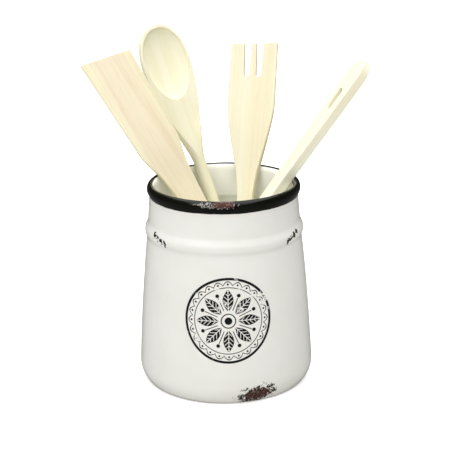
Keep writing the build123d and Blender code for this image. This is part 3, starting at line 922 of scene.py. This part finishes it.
# %% Dress the four tools
turner_tones = Tones(
    paint(243, 238, 205), paint(239, 229, 194), paint(229, 211, 177), paint(212, 187, 152)
)
spoon_tones = Tones(
    paint(241, 237, 211), paint(239, 234, 204), paint(235, 227, 194), paint(225, 212, 178)
)
fork_tones = Tones(
    paint(223, 219, 194), paint(222, 216, 187), paint(216, 205, 172), paint(207, 192, 155)
)
spatula_tones = Tones(
    paint(239, 237, 216), paint(237, 232, 206), paint(232, 223, 192), paint(222, 208, 172)
)
turner_heart = Heart(0.004, 0.019, paint(239, 226, 199), paint(236, 228, 190))
fork_heart = Heart(0.004, 0.012, paint(222, 213, 182), paint(219, 208, 171))
wood_material("turner_beech", nodes["turner"], 1, 0.6, turner_tones, turner_heart)
wood_material("spoon_pale_wood", nodes["spoon"], 2, 0.25, spoon_tones)
wood_material("fork_pale_wood", nodes["fork"], 3, 0.4, fork_tones, fork_heart)
wood_material("spatula_pale_wood", nodes["spatula"], 4, 0.35, spatula_tones)

# %% [markdown]
# ## Floor and backdrop
# The photo shows the jar on plain white. A floor that is only pale would turn grey away from the
# lamps, and one that glows would light the object from below. So a large pale floor catches the
# soft shadow under the jar, and away from the jar it glows white to the camera alone. The world
# behind it shows white to the camera too, and gives the object only a faint light. In reflections
# both are dim, as a dark studio is.

# %% Floor
FLOOR_SPREAD, CAMERA_LIFT = 14.0, 0.42
GLOW_FROM, GLOW_TO = 0.10, 0.75
FLOOR_WHITE, FLOOR_IN_GLOSS = paint(228, 228, 226), paint(96, 96, 95)
floor_points = np.array([(-1, -1, 0), (1, -1, 0), (1, 1, 0), (-1, 1, 0)]) * FLOOR_SPREAD
floor_face, no_triangles = np.array([[0, 1, 2, 3]]), np.zeros((0, 3), int)
floor = mesh_object("studio_floor", floor_points, floor_face, no_triangles)
floor_paint = new_material("studio_floor_white")
floor_paint.shader.inputs["Roughness"].default_value = 0.9
floor_paint.shader.inputs["Specular IOR Level"].default_value = 0.0
floor_paint.shader.inputs["Emission Color"].default_value = (1, 1, 1, 1)
seen = floor_paint.node("ShaderNodeLightPath").outputs
floor_coat = floor_paint.mix(seen["Is Glossy Ray"], FLOOR_WHITE, FLOOR_IN_GLOSS)
floor_paint.feed(floor_paint.shader.inputs["Base Color"], floor_coat)
floor_x, floor_y = floor_paint.split(floor_paint.place())[:2]
spread = floor_paint.larger(floor_paint.size(floor_x), floor_paint.size(floor_y))
lift = floor_paint.blend(floor_paint.step(spread, GLOW_FROM, GLOW_TO), CAMERA_LIFT, 1.0)
lift = floor_paint.times(seen["Is Camera Ray"], lift)
floor_paint.feed(floor_paint.shader.inputs["Emission Strength"], lift)
floor.data.materials.append(floor_paint.owner)
print("floor is", 2 * FLOOR_SPREAD, "m wide")

# %% World
SKY_LIGHT, SKY_IN_GLOSS = 0.13, 0.35
bpy.context.scene.world = bpy.data.worlds.new("studio")
sky = Bench(bpy.context.scene.world, "Background")
seen = sky.node("ShaderNodeLightPath").outputs
seen_through = sky.larger(seen["Is Camera Ray"], seen["Is Transmission Ray"])
sky_level = sky.span(seen_through, SKY_LIGHT, 1.0)
gloss_level = sky.span(seen["Is Glossy Ray"], 1.0, SKY_IN_GLOSS)
sky.feed(sky.shader.inputs["Strength"], sky.times(sky_level, gloss_level))
sky.shader.inputs["Color"].default_value = (1, 1, 1, 1)
print("world lights at", SKY_LIGHT, "and shows as 1.0")

# %% [markdown]
# ## Light
# Product photographs like this one are lit by two or three large soft boxes. Their size is what
# makes the gradients on the glaze wide and the shadows soft. One stands front left and above, a
# small weak one front right puts a glint on the rim, and a very large one overhead gives most of
# the light, also to the inside of the jar.


# %% Soft boxes
def soft_box(name, place, target, size, power):
    """A square area lamp at a place, turned so that it looks at the target."""
    lamp = bpy.data.lights.new(name, "AREA")
    lamp.shape = "SQUARE"
    lamp.size = size
    lamp.energy = power
    held = bpy.data.objects.new(name, lamp)
    held.location = place
    held.rotation_euler = (Vector(target) - Vector(place)).to_track_quat("-Z", "Y").to_euler()
    bpy.context.scene.collection.objects.link(held)
    print(name, "gives", power, "W from", size, "m")


soft_box("key_box", (-0.85, -1.20, 0.90), (0, 0, 0.12), 0.8, 5.2)
soft_box("glint_box", (0.62, -1.25, 0.70), (0, 0, 0.12), 0.4, 0.45)
soft_box("top_box", (0.0, -0.15, 1.3), (0, 0, 0.1), 2.2, 41.0)

# %% [markdown]
# ## Camera
# The photo was taken from a little above, straight at the front. A camera was fitted to the jar's
# outline in the picture. Its place, its tilt and its focal length follow from that, and the small
# roll is the picture's own.

# %% Camera at the photo's view
CAMERA_PLACE = (0.0, -0.95674, 0.42992)
PITCH, YAW, ROLL = 0.30607, 0.0007, -0.01582
FOCAL_PIXELS, PICTURE_PIXELS, SENSOR = 1236.0, 450, 36.0

forward = Vector((np.sin(YAW) * np.cos(PITCH), np.cos(YAW) * np.cos(PITCH), -np.sin(PITCH)))
level_right = forward.cross(Vector((0, 0, 1))).normalized()
level_up = level_right.cross(forward)
right = level_right * np.cos(ROLL) + level_up * np.sin(ROLL)
upward = right.cross(forward)
camera = bpy.data.objects.new("photo_camera", bpy.data.cameras.new("photo_camera"))
camera.data.sensor_width = SENSOR
camera.data.lens = FOCAL_PIXELS * SENSOR / PICTURE_PIXELS
camera.location = CAMERA_PLACE
camera.rotation_euler = Matrix((right, upward, -forward)).transposed().to_euler()
bpy.context.scene.collection.objects.link(camera)
bpy.context.scene.camera = camera
bpy.context.scene.view_settings.view_transform = "Standard"
print("lens is", round(camera.data.lens, 2), "mm")
